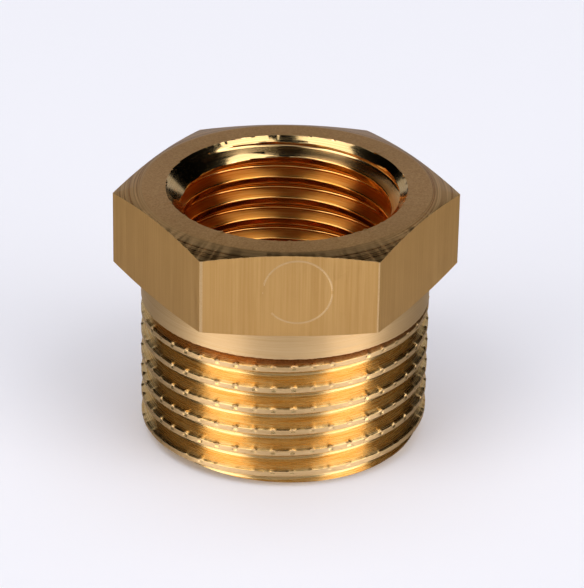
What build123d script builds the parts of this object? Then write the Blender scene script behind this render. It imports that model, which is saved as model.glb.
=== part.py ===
from build123d import *
from build123d.topology import SkipClean
import os
from math import ceil, cos, floor, radians, tan

# A reducing hex bushing, turned in one piece from hexagonal brass bar. Outside it has a G 3/8 male
# thread, and the hole through it has a G 1/4 female thread, both parallel and right hand.
# It stands on its thread end. The origin is the centre of that end, and +Z runs to the hexagon,
# which has two corners on the X axis.

# Hexagon
HEX_ACROSS_FLATS = 17.0
HEX_HEIGHT = 5.0
TOP_RING_INSET = 0.35  # the flat ring on top ends this far inside the flats
TOP_CHAMFER_ANGLE = 15.0
UNDER_RING_OUTSET = 0.1  # the shoulder's flat ring ends this far outside the flats, at the corners
UNDER_CHAMFER_ANGLE = 10.0

# Barrel below the hexagon
BARREL_LENGTH = 9.85
NECK_LENGTH = 1.6  # the plain collar between the hexagon and the thread
END_CHAMFER = 0.55

# Male thread
MALE_MAJOR_DIA = 16.662
MALE_THREADS_PER_INCH = 19
MALE_CREST_LOSS = 0.162  # the bar is turned this much under the major diameter, so its lands are flat
MALE_FIRST_GROOVE = 0.56  # height of the first groove above the end, where it crosses the X axis

# Female thread
FEMALE_MAJOR_DIA = 13.157
FEMALE_THREADS_PER_INCH = 19
FEMALE_CREST_LOSS = 0.355  # the hole is drilled this much over the minor diameter
FEMALE_THREAD_LENGTH = 6.8  # how far down from the top the drilled hole is tapped
FEMALE_FIRST_GROOVE = 0.72
MOUTH_OVERSIZE = 0.543  # the countersunk mouth is this much wider than the thread
MOUTH_ANGLE = 90.0  # included
TAIL_CHAMFER = 0.4

# Thread form of both, 55 degrees with half its sharp height on each side of the pitch line
FLANK_ANGLE = 55.0  # included
WORKING_DEPTH = 0.640327  # of one pitch, from crest to root
ROOT_FILL = 0.018  # a flat root this far above the bottom of the round one leaves the same section

INCH = 25.4
QUARTERS = 4
CUTTER_CLEARANCE = 0.2  # how far a cutter stands clear of the wall that it cuts
RUN_OUT = 2.0  # how far the cutters go on past an open end

# Sizes that follow
barrel_radius = (MALE_MAJOR_DIA - MALE_CREST_LOSS) / 2
female_depth = WORKING_DEPTH * INCH / FEMALE_THREADS_PER_INCH
bore_radius = (FEMALE_MAJOR_DIA + FEMALE_CREST_LOSS) / 2 - female_depth
thread_top = BARREL_LENGTH - NECK_LENGTH
total_height = BARREL_LENGTH + HEX_HEIGHT
corner_radius = HEX_ACROSS_FLATS / 2 / cos(radians(30))
top_ring_radius = HEX_ACROSS_FLATS / 2 - TOP_RING_INSET
under_ring_radius = HEX_ACROSS_FLATS / 2 + UNDER_RING_OUTSET
top_drop = (corner_radius - top_ring_radius) * tan(radians(TOP_CHAMFER_ANGLE))
under_rise = (corner_radius - under_ring_radius) * tan(radians(UNDER_CHAMFER_ANGLE))
mouth_radius = (FEMALE_MAJOR_DIA + MOUTH_OVERSIZE) / 2
mouth_depth = (mouth_radius - bore_radius) / tan(radians(MOUTH_ANGLE / 2))


def quarter_turn_cutter(threads_per_inch, major_dia, wall_radius, inward):
    """A quarter turn of a thread's groove, its middle at height 0 where it crosses the X axis.

    The groove goes inward from the barrel's wall, or outward from the bore's, and ends in a narrow
    flat root. Its flanks would meet in a sharp V, a quarter of the V's pitch height past the pitch line.
    """
    pitch = INCH / threads_per_inch
    depth = WORKING_DEPTH * pitch
    slope = tan(radians(FLANK_ANGLE / 2))
    side = -1 if inward else 1
    pitch_radius = (major_dia - depth) / 2
    root_radius = pitch_radius + side * (depth / 2 - ROOT_FILL)
    sharp_radius = pitch_radius + side * pitch / 4 / slope
    open_radius = wall_radius - side * CUTTER_CLEARANCE
    root_half_width = abs(sharp_radius - root_radius) * slope
    open_half_width = abs(sharp_radius - open_radius) * slope
    with BuildPart() as cutter:
        with BuildLine() as path:
            Helix(pitch, pitch / QUARTERS, pitch_radius)
        with BuildSketch(Plane.XZ):
            with BuildLine():
                Polyline(
                    (root_radius, -root_half_width),
                    (open_radius, -open_half_width),
                    (open_radius, open_half_width),
                    (root_radius, root_half_width),
                    close=True,
                )
            make_face()
        sweep(path=path.line, is_frenet=True)
    return cutter.part


def turns_of(cutter, threads_per_inch, first_groove, bottom, top, quarter):
    """The cutter once for each turn between two heights, in one quarter of the circle."""
    pitch = INCH / threads_per_inch
    rise = first_groove + quarter * pitch / QUARTERS
    angle = quarter * 360 / QUARTERS
    first_turn = ceil((bottom - rise) / pitch)
    last_turn = floor((top - rise) / pitch)
    return [
        cutter.moved(Location((0, 0, rise + turn * pitch), (0, 0, angle)))
        for turn in range(first_turn, last_turn + 1)
    ]


male_cutter = quarter_turn_cutter(MALE_THREADS_PER_INCH, MALE_MAJOR_DIA, barrel_radius, inward=True)
female_cutter = quarter_turn_cutter(FEMALE_THREADS_PER_INCH, FEMALE_MAJOR_DIA, bore_radius, inward=False)

# SkipClean keeps the seams between the quarters, so that each land of a thread stays a short strip
with SkipClean(), BuildPart() as hex_bushing:
    # The end of the barrel, with its chamfer
    with BuildSketch(Plane.XZ):
        with BuildLine():
            Polyline(
                (bore_radius, 0),
                (barrel_radius - END_CHAMFER, 0),
                (barrel_radius, END_CHAMFER),
                (bore_radius, END_CHAMFER),
                close=True,
            )
        make_face()
    revolve(axis=Axis.Z)

    # The threaded length, in four quarters
    for quarter in range(QUARTERS):
        with BuildSketch(Plane.XZ.rotated((0, 0, quarter * 360 / QUARTERS))):
            with BuildLine():
                Polyline(
                    (bore_radius, END_CHAMFER),
                    (barrel_radius, END_CHAMFER),
                    (barrel_radius, thread_top),
                    (bore_radius, thread_top),
                    close=True,
                )
            make_face()
        revolve(axis=Axis.Z, revolution_arc=360 / QUARTERS)

    # The male thread is cut before the neck is added, so its last groove runs out against the neck
    for quarter in range(QUARTERS):
        add(
            turns_of(
                male_cutter,
                MALE_THREADS_PER_INCH,
                MALE_FIRST_GROOVE,
                bottom=-RUN_OUT,
                top=thread_top + RUN_OUT,
                quarter=quarter,
            ),
            mode=Mode.SUBTRACT,
        )

    # The neck
    with BuildSketch(Plane.XY.offset(thread_top)):
        Circle(barrel_radius)
        Circle(bore_radius, mode=Mode.SUBTRACT)
    extrude(amount=NECK_LENGTH)

    # The hexagon
    with BuildSketch(Plane.XY.offset(BARREL_LENGTH)):
        RegularPolygon(HEX_ACROSS_FLATS / 2, 6, major_radius=False)
        Circle(bore_radius, mode=Mode.SUBTRACT)
    extrude(amount=HEX_HEIGHT)

    # The chamfers on the hexagon's corners, the mouth's countersink and the chamfer at the bore's other end
    with BuildSketch(Plane.XZ):
        with BuildLine():
            Polyline(
                (top_ring_radius, total_height),
                (corner_radius, total_height),
                (corner_radius, total_height - top_drop),
                close=True,
            )
        make_face()
        with BuildLine():
            Polyline(
                (under_ring_radius, BARREL_LENGTH),
                (corner_radius, BARREL_LENGTH),
                (corner_radius, BARREL_LENGTH + under_rise),
                close=True,
            )
        make_face()
        with BuildLine():
            Polyline(
                (bore_radius, total_height),
                (mouth_radius, total_height),
                (bore_radius, total_height - mouth_depth),
                close=True,
            )
        make_face()
        with BuildLine():
            Polyline(
                (bore_radius, 0),
                (bore_radius + TAIL_CHAMFER, 0),
                (bore_radius, TAIL_CHAMFER),
                close=True,
            )
        make_face()
    revolve(axis=Axis.Z, mode=Mode.SUBTRACT)

    # The female thread, tapped part of the way down
    for quarter in range(QUARTERS):
        add(
            turns_of(
                female_cutter,
                FEMALE_THREADS_PER_INCH,
                FEMALE_FIRST_GROOVE,
                bottom=total_height - FEMALE_THREAD_LENGTH,
                top=total_height + RUN_OUT,
                quarter=quarter,
            ),
            mode=Mode.SUBTRACT,
        )

hex_bushing.part.label = "hex_bushing"

os.makedirs("parts", exist_ok=True)
export_step(hex_bushing.part, "parts/hex_bushing.step")
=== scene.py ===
import bmesh
import bpy
from math import atan2, ceil, cos, exp, hypot, pi, radians, sin, tan, tau
from mathutils import Matrix, Vector, noise


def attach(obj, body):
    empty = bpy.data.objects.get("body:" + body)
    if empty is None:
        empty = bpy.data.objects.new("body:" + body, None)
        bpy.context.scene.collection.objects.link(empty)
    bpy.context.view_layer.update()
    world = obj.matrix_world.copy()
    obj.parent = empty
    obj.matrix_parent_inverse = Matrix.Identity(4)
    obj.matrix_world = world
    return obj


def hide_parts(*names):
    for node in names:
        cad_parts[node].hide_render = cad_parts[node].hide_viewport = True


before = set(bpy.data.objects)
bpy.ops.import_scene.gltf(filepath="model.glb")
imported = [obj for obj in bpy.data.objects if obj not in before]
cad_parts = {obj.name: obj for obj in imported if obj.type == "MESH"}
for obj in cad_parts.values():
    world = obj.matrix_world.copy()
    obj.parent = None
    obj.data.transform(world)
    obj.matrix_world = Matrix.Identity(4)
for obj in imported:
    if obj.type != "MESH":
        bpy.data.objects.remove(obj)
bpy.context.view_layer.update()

# ---- Hex bushing: the male thread --------------------------------------------------------------
# The bushing is one piece, turned from hexagonal brass bar. Its outside is made first, from the
# thread end up, then its bore, then its finishes. All lengths are millimetres until it is whole.
bushing = bmesh.new()

# G 3/8, single start, right hand, cut on the lathe. The form is the 55 degree one with a round root.
# The bar was turned a little small, so the crests are flat lands.
PITCH = 25.4 / 19
FLANK = radians(27.5)
WORKING_DEPTH = 0.640327 * PITCH
ROOT_ROUND = 0.137329 * PITCH
ROOT_TO_V = ROOT_ROUND / sin(FLANK)
ROOT_ARC = (0, 21, 42, 62.5)  # in degrees, from the root's middle to the flank
LAND_CUT = 0.55  # one more cut in a land, at this share of its half
male_major_dia = 16.662
barrel_radius = 8.25
male_pitch_radius = (male_major_dia - WORKING_DEPTH) / 2
male_v_radius = male_pitch_radius - PITCH / 4 / tan(FLANK)
male_flank_cuts = (0.35, 0.7)
male_round_off = 0.03
male_first_groove = 0.56
thread_top = 8.25
end_chamfer = 0.55
end_radius = barrel_radius - end_chamfer
nicks = 47
steps_per_nick = 9
male_steps = nicks * steps_per_nick


def radius_of(vert):
    return hypot(vert.co.x, vert.co.y)


def set_radius(vert, radius):
    """Moves a vertex straight out from or in to the axis."""
    factor = radius / radius_of(vert)
    vert.co.x *= factor
    vert.co.y *= factor


def groove_outline(v_radius, wall_radius, flank_cuts, round_off):
    """One pitch of a thread as (radius, height) points, upwards, from the middle of a land to the next.

    v_radius is where the flanks would meet in a sharp V, and it tells an outside thread from a bore's.
    round_off is how far the lands' edges are eased.
    """
    out = 1 if wall_radius > v_radius else -1
    edge = abs(wall_radius - v_radius) * tan(FLANK)
    half = []
    for angle in ROOT_ARC:
        half.append((
            v_radius + out * (ROOT_TO_V - ROOT_ROUND * cos(radians(angle))),
            ROOT_ROUND * sin(radians(angle)),
        ))
    root_edge = half[-1]
    for share in flank_cuts:
        half.append((
            root_edge[0] + (wall_radius - root_edge[0]) * share,
            root_edge[1] + (edge - root_edge[1]) * share,
        ))
    # The land's eased edge, which passes a quarter of round_off inside the sharp one
    half.append((wall_radius - out * round_off, edge - round_off * tan(FLANK)))
    half.append((wall_radius - out * round_off / 4, edge + round_off / 4))
    half.append((wall_radius, edge + round_off))
    half.append((wall_radius, edge + (PITCH / 2 - edge) * LAND_CUT))
    lower = [(r, -z) for r, z in reversed(half)]
    return [(wall_radius, -PITCH / 2)] + lower + half[1:]


def thread_strip(mesh, outline, first_groove, bottom, top, steps):
    """Winds a thread's outline once round, rising by a pitch, so that each turn meets the next.

    It starts below bottom all the way round and ends above top, to be trimmed level at both.
    """
    first = ceil((bottom - first_groove) / PITCH - 2.5)
    last = ceil((top - first_groove) / PITCH + 0.5)
    points = []
    for turn in range(first, last + 1):
        points += [(r, z + first_groove + turn * PITCH) for r, z in outline]
    verts = [mesh.verts.new((r, 0, z)) for r, z in points]
    edges = [mesh.edges.new(pair) for pair in zip(verts, verts[1:])]
    bmesh.ops.spin(
        mesh,
        geom=verts + edges,
        axis=(0, 0, 1),
        dvec=(0, 0, PITCH / steps),
        angle=tau,
        steps=steps,
    )
    bmesh.ops.remove_doubles(mesh, verts=mesh.verts, dist=1e-3)


def trim(mesh, height, keep_above):
    """Cuts the mesh level at a height and drops one side."""
    bmesh.ops.bisect_plane(
        mesh,
        geom=mesh.verts[:] + mesh.edges[:] + mesh.faces[:],
        dist=1e-4,
        plane_co=(0, 0, height),
        plane_no=(0, 0, -1 if keep_above else 1),
        clear_outer=True,
    )


thread_strip(
    bushing,
    groove_outline(male_v_radius, barrel_radius, male_flank_cuts, male_round_off),
    first_groove=male_first_groove,
    bottom=0,
    top=thread_top,
    steps=male_steps,
)

# A knurling wheel has nicked each land from its middle up, so that sealing tape holds. The metal
# that a nick pushed out stands as a burr on the land's upper edge. No two nicks are struck quite
# alike, and the lowest turn is the most worn.
first_nick_step = 5
nick_half_steps = 0.65
nicked_from = 0.47  # these three are shares of a pitch, up from the groove's middle
burred_from = 0.59
burred_to = 0.64
nick_depth = 0.06
nick_burr_rise = 0.1
nick_burr_reach = 0.03
edge_wave = 0.022
worn_below = 1.7
worn_strength = 0.45
for vert in bushing.verts:
    angle = atan2(vert.co.y, vert.co.x)
    across = (vert.co.z - male_first_groove - angle / tau * PITCH) / PITCH % 1
    if nicked_from < across < burred_to:
        step = angle / tau * male_steps - first_nick_step
        offset = (step + steps_per_nick / 2) % steps_per_nick - steps_per_nick / 2
        nick = round(step / steps_per_nick)
        strength = 0.75 + 0.7 * noise.noise(Vector((nick * 3.7, vert.co.z * 0.35, 1.5)))
        if vert.co.z < worn_below:
            strength *= worn_strength
        near = exp(-(offset / nick_half_steps) ** 2)
        if across > burred_from:
            vert.co.z += near * strength * nick_burr_rise
            set_radius(vert, radius_of(vert) + near * strength * nick_burr_reach)
            vert.co.z += edge_wave * noise.noise(Vector((angle * 31, vert.co.z * 2, 7.7)))
        else:
            set_radius(vert, radius_of(vert) - near * strength * nick_depth)
    if vert.co.z < end_chamfer:
        set_radius(vert, min(radius_of(vert), end_radius + max(vert.co.z, 0)))
trim(bushing, 0, keep_above=True)
trim(bushing, thread_top, keep_above=False)

# ---- Hex bushing: the neck ---------------------------------------------------------------------
# The plain collar between thread and hexagon, turned with the same pass as the lands. The last
# groove runs out against it, so the groove's open end is first closed by a level shelf.
neck_top = 9.85
run_out_ring = 0.06


def rim(mesh, height):
    """The open edges that lie at one height."""
    return [
        e for e in mesh.edges if e.is_boundary and all(abs(v.co.z - height) < 1e-4 for v in e.verts)
    ]


def turn_on(mesh, edges, radius, height):
    """Carries a rim on to a new radius and height, as the lathe's next cut, and gives the new rim."""
    made = bmesh.ops.extrude_edge_only(mesh, edges=edges)["geom"]
    for vert in made:
        if isinstance(vert, bmesh.types.BMVert):
            set_radius(vert, radius)
            vert.co.z = height
    return [e for e in made if isinstance(e, bmesh.types.BMEdge) and e.is_boundary]


turn_on(bushing, rim(bushing, thread_top), barrel_radius, thread_top)
bmesh.ops.remove_doubles(
    bushing, verts=[v for v in bushing.verts if abs(v.co.z - thread_top) < 1e-4], dist=1e-3
)
top_rim = turn_on(bushing, rim(bushing, thread_top), barrel_radius, thread_top + run_out_ring)
top_rim = turn_on(bushing, top_rim, barrel_radius, neck_top)

# ---- Hex bushing: the hexagon ------------------------------------------------------------------
# The bar's own six drawn flats, 17 mm across, with their corners turned off above and below. It is
# turned as a round wider than its corners, and the flats are then cut from that.
across_flats = 17.0
top_height = 14.85
shoulder_radius = 8.6
ring_radius = 8.15
overshoot_radius = 10.3
under_slope = tan(radians(10))
top_slope = tan(radians(15))
ring_ease = 0.04
mouth_radius = 6.85
burr_width = 0.03
burr_root_width = 0.15
for radius, height in (
    (shoulder_radius, neck_top),
    (overshoot_radius, neck_top + (overshoot_radius - shoulder_radius) * under_slope),
    (overshoot_radius, top_height - (overshoot_radius - ring_radius) * top_slope),
    (ring_radius + ring_ease, top_height - ring_ease * top_slope),
    (ring_radius - ring_ease, top_height),
    (mouth_radius + burr_root_width, top_height),
    (mouth_radius + burr_width, top_height),
):
    top_rim = turn_on(bushing, top_rim, radius, height)
FRONT = 4  # this side faces -Y, and it is cut last


def facing(side):
    """The direction that one of the six flats faces."""
    return Vector((cos(radians(side * 60 + 30)), sin(radians(side * 60 + 30)), 0))


for side in (5, 0, 1, 2, 3, FRONT):
    cut = bmesh.ops.bisect_plane(
        bushing,
        geom=bushing.verts[:] + bushing.edges[:] + bushing.faces[:],
        dist=1e-5,
        plane_co=facing(side) * across_flats / 2,
        plane_no=facing(side),
        clear_outer=True,
    )
    flat_edges = [e for e in cut["geom_cut"] if isinstance(e, bmesh.types.BMEdge)]
    if side != FRONT:
        bmesh.ops.contextual_create(bushing, geom=flat_edges)

# A plain ring is stamped in the front flat, deeper on one side than on the other. Its groove goes in
# from a circle in the flat through three more to the disc that it leaves in the middle.
stamp_centre = Vector((0.44, -across_flats / 2, 12.55))
stamp_radius = 1.9
stamp_depth = 0.018
stamp_half_width = 0.05
stamp_profile = ((0.018, 0.8), (0, 1), (-0.018, 0.8), (-stamp_half_width, 0))  # (outset, share of depth)
stamp_light_side = 0.05
circle = bmesh.ops.create_circle(
    bushing,
    segments=120,
    radius=stamp_radius + stamp_half_width,
    matrix=Matrix.Translation(stamp_centre) @ Matrix.Rotation(radians(90), 4, "X"),
)["verts"]
circle_edges = list(dict.fromkeys(e for v in circle for e in v.link_edges))
bmesh.ops.triangle_fill(bushing, edges=flat_edges + circle_edges, use_beauty=True, normal=(0, -1, 0))
for outset, depth in stamp_profile:
    made = bmesh.ops.extrude_edge_only(bushing, edges=circle_edges)["geom"]
    circle_edges = [e for e in made if isinstance(e, bmesh.types.BMEdge)]
    for vert in made:
        if isinstance(vert, bmesh.types.BMVert):
            spoke = Vector((vert.co.x - stamp_centre.x, 0, vert.co.z - stamp_centre.z)).normalized()
            angle = atan2(spoke.z, spoke.x)
            struck = 0.55 + 0.45 * cos(angle - radians(20)) + 0.5 * noise.noise(Vector((angle * 1.7, 3, 0)))
            vert.co = stamp_centre + spoke * (stamp_radius + outset)
            vert.co.y += stamp_depth * depth * min(max(struck, stamp_light_side), 1)
bmesh.ops.contextual_create(bushing, geom=circle_edges)

# Handling has worn the corners and the chamfers' edges round. Along the front, small burrs stand on
# the upper ones, but not in the flats' own planes, where they would crease the flats.
edge_wear = 0.05
worn_angle = radians(14)
flat_area = 4
corner_burr_reach = 0.04
corner_burr_rise = 0.05
burr_clear_of_flat = 0.004
burrs_from = neck_top + 2
burrs_to = top_height - 0.02
burrs_behind = -3
bmesh.ops.recalc_face_normals(bushing, faces=bushing.faces)


def is_flat(face):
    return (
        face.calc_center_median().z > neck_top
        and abs(face.normal.z) < 1e-3
        and face.calc_area() > flat_area
    )


def bounds_front(edge):
    """Whether an edge parts the front flat, which is many small faces, from a chamfer."""
    slopes = [f.normal.z for f in edge.link_faces]
    in_front = all(abs(v.co.y + across_flats / 2) < 1e-3 for v in edge.verts)
    return in_front and max(slopes) - min(slopes) > 0.1


worn_edges = [
    e
    for e in bushing.edges
    if len(e.link_faces) == 2
    and e.calc_face_angle() > worn_angle
    and (any(is_flat(f) for f in e.link_faces) or bounds_front(e))
]
worn_verts = bmesh.ops.bevel(
    bushing,
    geom=worn_edges,
    offset=edge_wear,
    segments=2,
    profile=0.5,
    affect="EDGES",
    clamp_overlap=True,
    material=-1,
)["verts"]
for vert in worn_verts:
    below_flat = across_flats / 2 - max(vert.co.dot(facing(side)) for side in range(6))
    on_front_edges = vert.co.y < burrs_behind and burrs_from < vert.co.z < burrs_to
    if below_flat > burr_clear_of_flat and on_front_edges:
        place = vert.co.copy()
        burr = max(noise.noise(place * 4) + 0.7 * noise.noise(place * 11 + Vector((5, 0, 0))), 0)
        set_radius(vert, radius_of(vert) + corner_burr_reach * burr)
        vert.co.z += corner_burr_rise * burr

# ---- Hex bushing: the bore ---------------------------------------------------------------------
# Drilled 11.8 mm through, countersunk at 90 degrees and tapped G 1/4 from the top. The tap's lead
# leaves the last turn shallower, and the hole goes on plain below it.
bore = bmesh.new()
bore_radius = 5.9
female_major_dia = 13.157
female_pitch_radius = (female_major_dia - WORKING_DEPTH) / 2
female_v_radius = female_pitch_radius + PITCH / 4 / tan(FLANK)
female_flank_cuts = (0.5,)
female_round_off = 0.06
female_first_groove = 0.72
tapped_to = 7.6
full_depth_from = 8.7
sink_bottom = top_height - (mouth_radius - bore_radius)
tail_chamfer = 0.4
bore_steps = 336
thread_strip(
    bore,
    groove_outline(female_v_radius, bore_radius, female_flank_cuts, female_round_off),
    first_groove=female_first_groove,
    bottom=tapped_to,
    top=top_height,
    steps=bore_steps,
)
for vert in bore.verts:
    share = min(max((vert.co.z - tapped_to) / (full_depth_from - tapped_to), 0), 1)
    radius = bore_radius + (radius_of(vert) - bore_radius) * share
    set_radius(vert, max(radius, bore_radius + vert.co.z - sink_bottom))
trim(bore, top_height, keep_above=False)
trim(bore, tapped_to, keep_above=True)
tail_rim = turn_on(bore, rim(bore, tapped_to), bore_radius, tail_chamfer)
turn_on(bore, tail_rim, bore_radius + tail_chamfer, 0)
bore_mesh = bpy.data.meshes.new("bore")
bore.to_mesh(bore_mesh)
bore.free()
bushing.from_mesh(bore_mesh)
bpy.data.meshes.remove(bore_mesh)
for height in (0, top_height):
    bmesh.ops.triangle_fill(bushing, edges=rim(bushing, height), use_beauty=True, normal=(0, 0, 1))
bmesh.ops.recalc_face_normals(bushing, faces=bushing.faces)

# The last groove leaves the neck's lower edge ragged, and the countersink leaves a broken burr.
neck_rag = 0.05
mouth_burr = 0.06
for vert in bushing.verts:
    reach = radius_of(vert)
    angle = atan2(vert.co.y, vert.co.x)
    if abs(reach - barrel_radius) < 1e-3 and abs(vert.co.z - thread_top) < 1e-3:
        vert.co.z -= neck_rag * abs(noise.noise(Vector((angle * 35, 0, 4.4))))
    elif top_height - 1e-3 < vert.co.z and abs(reach - mouth_radius) < 0.05:
        burr = noise.noise(Vector((angle * 20, 2.2, 0))) + 1.2 * noise.noise(Vector((angle * 90, 5.5, 0)))
        raised = mouth_burr * max(burr - 0.15, 0)
        vert.co.z += raised
        set_radius(vert, reach - raised)

# ---- Hex bushing: where each finish is ---------------------------------------------------------
# One metal with eight finishes, by what each tool left. The bore's two carry painted bounce light, and
# the groove's run-out under the neck carries painted shade. The materials further down are made in the
# order of these names.
TURNED, DRAWN, THREADED, TAPPED, DRILLED, BURNISHED, FACED_AND_PAINTED_SHADE, CHAMFERED = range(8)
female_root_edge = female_v_radius - ROOT_TO_V + ROOT_ROUND * cos(radians(ROOT_ARC[-1]))
painted_shade_from = 7.85  # the last groove's end above this gets the top ring's browner brass, as painted shade under the neck
flats_to = 9.75  # these six set how far a finish goes by a worn or eased edge
flat_edge = 0.1
land_edge = 0.065
sink_edge = 0.02
chamfer_edge = 0.12
groove_edge = 0.012
for face in bushing.faces:
    centre = face.calc_center_median()
    reach = hypot(centre.x, centre.y)
    slope = face.normal.z
    on_hexagon = centre.z > neck_top
    if on_hexagon and across_flats / 2 - flat_edge < reach < flats_to and abs(slope) < 0.02:
        face.material_index = DRAWN
    elif reach < mouth_radius - sink_edge and centre.z > tail_chamfer:
        on_flank = bore_radius + land_edge < reach < female_root_edge
        on_sink = centre.z > sink_bottom and reach < bore_radius + centre.z - sink_bottom + sink_edge
        face.material_index = BURNISHED if on_sink else TAPPED if on_flank else DRILLED
    elif on_hexagon and slope > 0.99:
        face.material_index = FACED_AND_PAINTED_SHADE
    elif on_hexagon and slope > 0.94 and reach > ring_radius:
        face.material_index = CHAMFERED
    elif slope > 0.05 and centre.z > top_height - (reach - ring_radius) * top_slope - chamfer_edge:
        face.material_index = BURNISHED
    # In the thread's groove, the run-out just under the neck takes the top ring's browner brass as painted
    # shade.
    elif centre.z < thread_top and reach < barrel_radius - groove_edge:
        face.material_index = THREADED if centre.z < painted_shade_from else FACED_AND_PAINTED_SHADE
    else:
        face.material_index = TURNED

MM = 0.001
bmesh.ops.scale(bushing, vec=(MM, MM, MM), verts=bushing.verts)
mesh = bpy.data.meshes.new("hex_bushing_brass")
bushing.to_mesh(mesh)
bushing.free()
for polygon in mesh.polygons:
    polygon.use_smooth = True
mesh.set_sharp_from_angle(angle=radians(32))
hex_bushing_brass = bpy.data.objects.new("hex_bushing_brass", mesh)
bpy.context.scene.collection.objects.link(hex_bushing_brass)

# ---- Hex bushing: its finishes -----------------------------------------------------------------
# All of them are bare brass, so they differ in tool marks, in gloss and a little in colour, except where
# light and shade are painted in: the bore's deep orange and the browner run-out under the neck. Real tool
# marks are finer than a pixel: each pattern here is drawn as coarse as it needs to be to show.


def linear(hex_colour):
    """An sRGB hex colour as Blender's linear one."""
    channels = [int(hex_colour[i : i + 2], 16) / 255 for i in (1, 3, 5)]
    return [c / 12.92 if c <= 0.04045 else ((c + 0.055) / 1.055) ** 2.4 for c in channels] + [1]


def add_node(tree, kind, settings=None, links=None):
    """Adds a node, sets its sockets and properties, and links the sockets that links names."""
    node = tree.nodes.new(kind)
    for name, value in (settings or {}).items():
        if name in node.inputs:
            node.inputs[name].default_value = value
        else:
            setattr(node, name, value)
    for name, source in (links or {}).items():
        tree.links.new(source, node.inputs[name])
    return node


def bare_metal(name):
    """The bushing's next material, as its nodes and its shader."""
    material = bpy.data.materials.new(name)
    material.use_nodes = True
    shader = material.node_tree.nodes["Principled BSDF"]
    shader.inputs["Metallic"].default_value = 1
    mesh.materials.append(material)
    return material.node_tree, shader


def lathe_lines(tree, line_width, line_length):
    """Noise that runs round the axis in lines, as a lathe's tool leaves them."""
    place = add_node(tree, "ShaderNodeTexCoord").outputs["Object"]
    parts = add_node(tree, "ShaderNodeSeparateXYZ", links={"Vector": place}).outputs
    flat = add_node(tree, "ShaderNodeCombineXYZ", links={"X": parts["X"], "Y": parts["Y"]})
    reach = add_node(tree, "ShaderNodeVectorMath", {"operation": "LENGTH"}, {0: flat.outputs[0]})
    section = add_node(
        tree, "ShaderNodeCombineXYZ", links={"X": reach.outputs["Value"], "Y": parts["Z"]}
    )
    across = add_node(
        tree,
        "ShaderNodeVectorMath",
        {"operation": "SCALE", "Scale": 1 / line_width},
        {0: section.outputs[0]},
    )
    around = add_node(
        tree, "ShaderNodeVectorMath", {"operation": "SCALE", "Scale": 1 / line_length}, {0: place}
    )
    total = add_node(
        tree, "ShaderNodeVectorMath", {"operation": "ADD"}, {0: across.outputs[0], 1: around.outputs[0]}
    )
    return add_node(
        tree, "ShaderNodeTexNoise", {"Scale": 1, "Detail": 3, "Roughness": 0.6}, {"Vector": total.outputs[0]}
    ).outputs["Fac"]


def mark(tree, shader, pattern, colours, roughness, depth):
    """Lays a pattern of tool marks on the metal, in its colour, its gloss and its relief."""
    ramp = add_node(tree, "ShaderNodeValToRGB", links={"Fac": pattern})
    for stop, position, colour in zip(ramp.color_ramp.elements, (0.35, 0.65), colours):
        stop.position = position
        stop.color = linear(colour)
    tree.links.new(ramp.outputs["Color"], shader.inputs["Base Color"])
    gloss = add_node(
        tree,
        "ShaderNodeMapRange",
        {"From Min": 0.3, "From Max": 0.7, "To Min": roughness[0], "To Max": roughness[1]},
        {"Value": pattern},
    )
    tree.links.new(gloss.outputs["Result"], shader.inputs["Roughness"])
    bump = add_node(tree, "ShaderNodeBump", {"Distance": depth, "Strength": 1}, {"Height": pattern})
    tree.links.new(bump.outputs["Normal"], shader.inputs["Normal"])


def brush_round(tree, shader, amount):
    """Spreads the gloss across the tool's rings, as they do on anything turned."""
    place = add_node(tree, "ShaderNodeTexCoord").outputs["Object"]
    around = add_node(tree, "ShaderNodeVectorMath", {"operation": "CROSS_PRODUCT"}, {1: place})
    around.inputs[0].default_value = (0, 0, 1)
    tree.links.new(around.outputs[0], shader.inputs["Tangent"])
    shader.inputs["Anisotropic"].default_value = amount
    shader.inputs["Anisotropic Rotation"].default_value = 0.25


# Turned brass, the neck and the lands: satin, with fine rings from the tool.
tree, shader = bare_metal("turned_brass")
mark(
    tree,
    shader,
    lathe_lines(tree, 0.035 * MM, 5 * MM),
    colours=("#ecc286", "#f7d5a0"),
    roughness=(0.48, 0.6),
    depth=0.0012 * MM,
)
brush_round(tree, shader, 0.4)

# Drawn brass, the flats: the bar's skin, duller and browner, with streaks along the bar.
STREAK_WIDTH = 0.09 * MM
STREAK_LENGTH = 7 * MM
tree, shader = bare_metal("drawn_brass")
along = add_node(
    tree,
    "ShaderNodeMapping",
    {"Scale": (1 / STREAK_WIDTH, 1 / STREAK_WIDTH, 1 / STREAK_LENGTH)},
    {"Vector": add_node(tree, "ShaderNodeTexCoord").outputs["Object"]},
)
streaks = add_node(
    tree, "ShaderNodeTexNoise", {"Scale": 1, "Detail": 4, "Roughness": 0.65}, {"Vector": along.outputs[0]}
).outputs["Fac"]
mark(tree, shader, streaks, colours=("#e1af68", "#ebbf7b"), roughness=(0.52, 0.64), depth=0.001 * MM)

# Threaded brass, the male thread's groove: freshly cut, so brighter and yellower, with the tool's
# lines along its flanks.
tree, shader = bare_metal("threaded_brass")
mark(
    tree,
    shader,
    lathe_lines(tree, 0.045 * MM, 8.33 * MM),
    colours=("#e7b25f", "#fbdea2"),
    roughness=(0.2, 0.34),
    depth=0.001 * MM,
)
brush_round(tree, shader, 0.8)


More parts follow.
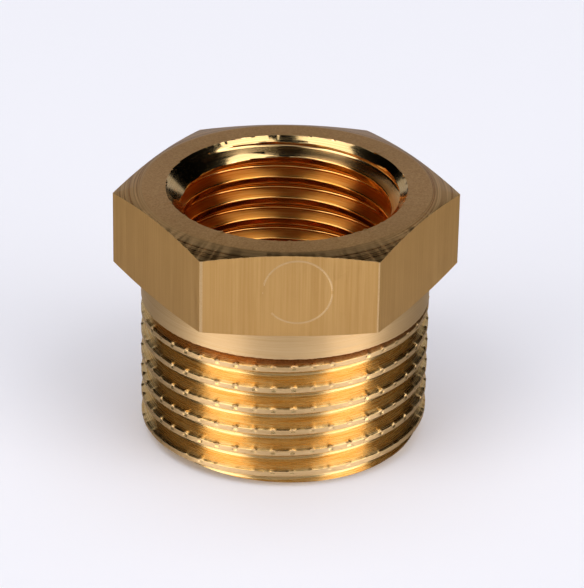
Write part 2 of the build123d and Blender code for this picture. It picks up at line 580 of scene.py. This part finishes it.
def blend_at_mouth(tree, shader, socket, outside):
    """Blends what a socket gets in the bore into the countersink's, over the countersink's lower edge."""
    inside = shader.inputs[socket].links[0].from_socket
    place = add_node(tree, "ShaderNodeTexCoord").outputs["Object"]
    height = add_node(tree, "ShaderNodeSeparateXYZ", links={"Vector": place}).outputs["Z"]
    share = add_node(
        tree,
        "ShaderNodeMapRange",
        {"From Min": SINK_BLEND_FROM, "From Max": SINK_BLEND_TO},
        {"Value": height},
    )
    kind = "RGBA" if inside.type == "RGBA" else "FLOAT"
    blend = add_node(tree, "ShaderNodeMix", {"data_type": kind})
    factor, bore_value, sink_value = [s for s in blend.inputs if s.enabled]
    tree.links.new(share.outputs["Result"], factor)
    tree.links.new(inside, bore_value)
    sink_value.default_value = outside
    blended = next(s for s in blend.outputs if s.enabled)
    tree.links.new(blended, shader.inputs[socket])


# Tapped brass, the female thread's flanks: smoother, and painted a deeper orange for the light that
# bounces about in the bore, which gives way to the countersink's own colour at its lower edge.
SINK_COLOUR = linear("#ecc386")
SINK_ROUGHNESS = 0.2
SINK_BLEND_FROM = (sink_bottom - 0.2) * MM
SINK_BLEND_TO = (sink_bottom + 0.15) * MM
tree, shader = bare_metal("tapped_brass_painted_bounce")
mark(
    tree,
    shader,
    lathe_lines(tree, 0.06 * MM, 16.67 * MM),
    colours=("#df8c32", "#eda750"),
    roughness=(0.32, 0.4),
    depth=0.0007 * MM,
)
blend_at_mouth(tree, shader, "Base Color", SINK_COLOUR)
blend_at_mouth(tree, shader, "Roughness", SINK_ROUGHNESS)
brush_round(tree, shader, 1.0)

# Drilled brass, the bore's lands and roots: as the drill and the tap's teeth rubbed them, smooth
# enough to glint. Its orange is painted in for the light that bounces about in the bore.
tree, shader = bare_metal("drilled_brass_painted_bounce")
mark(
    tree,
    shader,
    lathe_lines(tree, 0.05 * MM, 16.67 * MM),
    colours=("#db923c", "#f0b468"),
    roughness=(0.1, 0.17),
    depth=0.0005 * MM,
)
blend_at_mouth(tree, shader, "Base Color", SINK_COLOUR)

# Burnished brass, the countersink and the edge of the chamfer: rubbed smooth by the tool and by
# handling, so it mirrors the lamps.
tree, shader = bare_metal("burnished_brass")
mark(
    tree,
    shader,
    lathe_lines(tree, 0.03 * MM, 16.67 * MM),
    colours=("#dfb674", "#f5d49a"),
    roughness=(0.08, 0.18),
    depth=0.0006 * MM,
)

# Faced brass, the top ring: satin and browner, with a fine grain from the parting tool. It also
# lends its browner colour to the last groove's run-out under the neck, as painted shade.
GRAIN = 0.1 * MM
tree, shader = bare_metal("faced_brass_and_painted_shade")
grain = add_node(
    tree,
    "ShaderNodeTexNoise",
    {"Scale": 1 / GRAIN, "Detail": 3, "Roughness": 0.7},
    {"Vector": add_node(tree, "ShaderNodeTexCoord").outputs["Object"]},
).outputs["Fac"]
mark(tree, shader, grain, colours=("#bf8a4c", "#dcb074"), roughness=(0.34, 0.46), depth=0.003 * MM)
brush_round(tree, shader, 0.65)

# Chamfered brass, the corners' chamfer: cut by an uneven tool, so it shows coarse dark rings.
tree, shader = bare_metal("chamfered_brass")
mark(
    tree,
    shader,
    lathe_lines(tree, 0.09 * MM, 11.11 * MM),
    colours=("#ab7a40", "#e2b77a"),
    roughness=(0.26, 0.36),
    depth=0.0025 * MM,
)
brush_round(tree, shader, 0.2)

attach(hex_bushing_brass, "root")
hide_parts("hex_bushing")

# ---- Table -------------------------------------------------------------------------------------
# A sheet of white acrylic. The eye sees it as plain pale paper with the bushing's shadow on it, and
# the metal sees it as the satin sheet that it is, with the lamps in it.
TABLE_HALF = 3
TABLE_GAP = 0.01 * MM  # keeps the table's face out of the bushing's end face
table_shape = bmesh.new()
bmesh.ops.create_grid(table_shape, x_segments=1, y_segments=1, size=TABLE_HALF)
bmesh.ops.translate(table_shape, vec=(0, 0, -TABLE_GAP), verts=table_shape.verts)
table_mesh = bpy.data.meshes.new("floor")
table_shape.to_mesh(table_mesh)
table_shape.free()
table = bpy.data.objects.new("floor", table_mesh)
bpy.context.scene.collection.objects.link(table)
PALE = linear("#f1f1f8")
acrylic = bpy.data.materials.new("white_acrylic")
acrylic.use_nodes = True
tree = acrylic.node_tree
tree.nodes.clear()
paper = add_node(tree, "ShaderNodeBsdfDiffuse", {"Color": PALE})
polish = add_node(tree, "ShaderNodeBsdfGlossy", {"Color": PALE, "Roughness": 0.12})
sheet = add_node(
    tree, "ShaderNodeMixShader", {"Fac": 0.86}, {1: paper.outputs[0], 2: polish.outputs[0]}
)
rays = add_node(tree, "ShaderNodeLightPath")
seen = add_node(
    tree,
    "ShaderNodeMixShader",
    links={"Fac": rays.outputs["Is Glossy Ray"], 1: paper.outputs[0], 2: sheet.outputs[0]},
)
add_node(tree, "ShaderNodeOutputMaterial", links={"Surface": seen.outputs[0]})
table_mesh.materials.append(acrylic)

# ---- Room --------------------------------------------------------------------------------------
# As pale as the table to the eye and to the metal, so the two join without a line. It lights the
# table and the bushing only a little.
ROOM_LEVEL = 0.3
world = bpy.data.worlds.new("studio")
world.use_nodes = True
bpy.context.scene.world = world
tree = world.node_tree
rays = add_node(tree, "ShaderNodeLightPath")
bright = rays.outputs["Is Camera Ray"]
for ray in ("Is Glossy Ray", "Is Transmission Ray"):
    bright = add_node(
        tree, "ShaderNodeMath", {"operation": "MAXIMUM"}, {0: bright, 1: rays.outputs[ray]}
    ).outputs[0]
level = add_node(tree, "ShaderNodeMapRange", {"To Min": ROOM_LEVEL, "To Max": 1.0}, {"Value": bright})
tree.nodes["Background"].inputs["Color"].default_value = PALE
tree.links.new(level.outputs["Result"], tree.nodes["Background"].inputs["Strength"])

# ---- Lamps -------------------------------------------------------------------------------------
# Two softboxes to the sides give the metal its bright bands, and a large soft lamp overhead fills in.
# The metal doesn't mirror that one: the black card overhead takes its place there.


def face_bushing(thing, azimuth, elevation, distance):
    """Sets a lamp or a card round the bushing, facing it. Azimuth is from the front, to the right."""
    direction = Vector((
        sin(radians(azimuth)) * cos(radians(elevation)),
        -cos(radians(azimuth)) * cos(radians(elevation)),
        sin(radians(elevation)),
    ))
    thing.location = direction * distance
    thing.rotation_euler = direction.to_track_quat("Z", "Y").to_euler()
    bpy.context.scene.collection.objects.link(thing)


def softbox(name, azimuth, elevation, distance, width, height, radiance):
    """A rectangular lamp that faces the bushing."""
    lamp = bpy.data.lights.new(name, "AREA")
    lamp.shape = "RECTANGLE"
    lamp.size = width
    lamp.size_y = height
    lamp.energy = radiance * pi * width * height
    lamp_object = bpy.data.objects.new(name, lamp)
    face_bushing(lamp_object, azimuth, elevation, distance)
    return lamp_object


softbox(
    "softbox_left", azimuth=-54, elevation=37, distance=1.0, width=0.66, height=1.3, radiance=1.7
)
softbox(
    "softbox_right", azimuth=54, elevation=37, distance=1.0, width=0.66, height=1.3, radiance=1.7
)
fill = softbox("fill", azimuth=0, elevation=90, distance=1.5, width=1.8, height=1.8, radiance=1.12)
fill.visible_glossy = False

# ---- Cards -------------------------------------------------------------------------------------
# Bright metal shows all that stands round it. Black and grey cards take the place of the pale room
# there, and nothing but the metal's reflections sees them.


def card(name, shade, azimuth, elevation, distance, width, height):
    """A plain card that faces the bushing, as bright as its shade says."""
    shape = bmesh.new()
    bmesh.ops.create_grid(shape, x_segments=1, y_segments=1, size=0.5)
    bmesh.ops.scale(shape, vec=(width, height, 1), verts=shape.verts)
    card_mesh = bpy.data.meshes.new(name)
    shape.to_mesh(card_mesh)
    shape.free()
    board = bpy.data.materials.new(name)
    board.use_nodes = True
    board.node_tree.nodes.clear()
    glow = add_node(board.node_tree, "ShaderNodeEmission", {"Color": linear(shade), "Strength": 1.0})
    add_node(board.node_tree, "ShaderNodeOutputMaterial", links={"Surface": glow.outputs[0]})
    card_mesh.materials.append(board)
    card_object = bpy.data.objects.new(name, card_mesh)
    face_bushing(card_object, azimuth, elevation, distance)
    card_object.visible_camera = False
    card_object.visible_diffuse = False
    card_object.visible_shadow = False


card("front_card", "#848488", azimuth=0, elevation=16, distance=1.6, width=1.8, height=1.1)
card("flag_left", "#000000", azimuth=-106, elevation=28, distance=1.6, width=2.2, height=2.0)
card("flag_right", "#000000", azimuth=106, elevation=28, distance=1.6, width=2.2, height=2.0)
card("back_card", "#a6a6aa", azimuth=180, elevation=19, distance=1.7, width=2.9, height=1.4)
card("top_flag", "#000000", azimuth=0, elevation=90, distance=1.9, width=3.8, height=3.8)

# ---- Camera ------------------------------------------------------------------------------------
# Looks down on the bushing from the front, about 200 mm away. The focal length and the lens's axis
# are in pixels of the frame, whose height is its longer side.
FRAME_WIDTH = 584
FRAME_HEIGHT = 588
SENSOR = 36
focal_pixels = 3454.5734
lens_axis_x = 285.0305
lens_axis_y = 294.0374
camera_distance = 0.1980218
camera_elevation = radians(27.6291)
camera_azimuth = radians(-1.6365)
camera_roll = radians(0.9484)
target = Vector((0, 0, 0.008))
back = Vector((
    sin(camera_azimuth) * cos(camera_elevation),
    -cos(camera_azimuth) * cos(camera_elevation),
    sin(camera_elevation),
))
right = Vector((cos(camera_azimuth), sin(camera_azimuth), 0))
up = back.cross(right)
aim = Matrix((right, up, back)).transposed().to_4x4() @ Matrix.Rotation(camera_roll, 4, "Z")
camera = bpy.data.objects.new("camera", bpy.data.cameras.new("camera"))
bpy.context.scene.collection.objects.link(camera)
camera.matrix_world = Matrix.Translation(target + back * camera_distance) @ aim
camera.data.sensor_width = SENSOR
camera.data.lens = focal_pixels * SENSOR / FRAME_HEIGHT
camera.data.shift_x = (FRAME_WIDTH / 2 - lens_axis_x) / FRAME_HEIGHT
camera.data.shift_y = (lens_axis_y - FRAME_HEIGHT / 2) / FRAME_HEIGHT
camera.data.clip_start = 0.01
camera.data.dof.use_dof = False
bpy.context.scene.camera = camera
bpy.context.scene.view_settings.view_transform = "Standard"
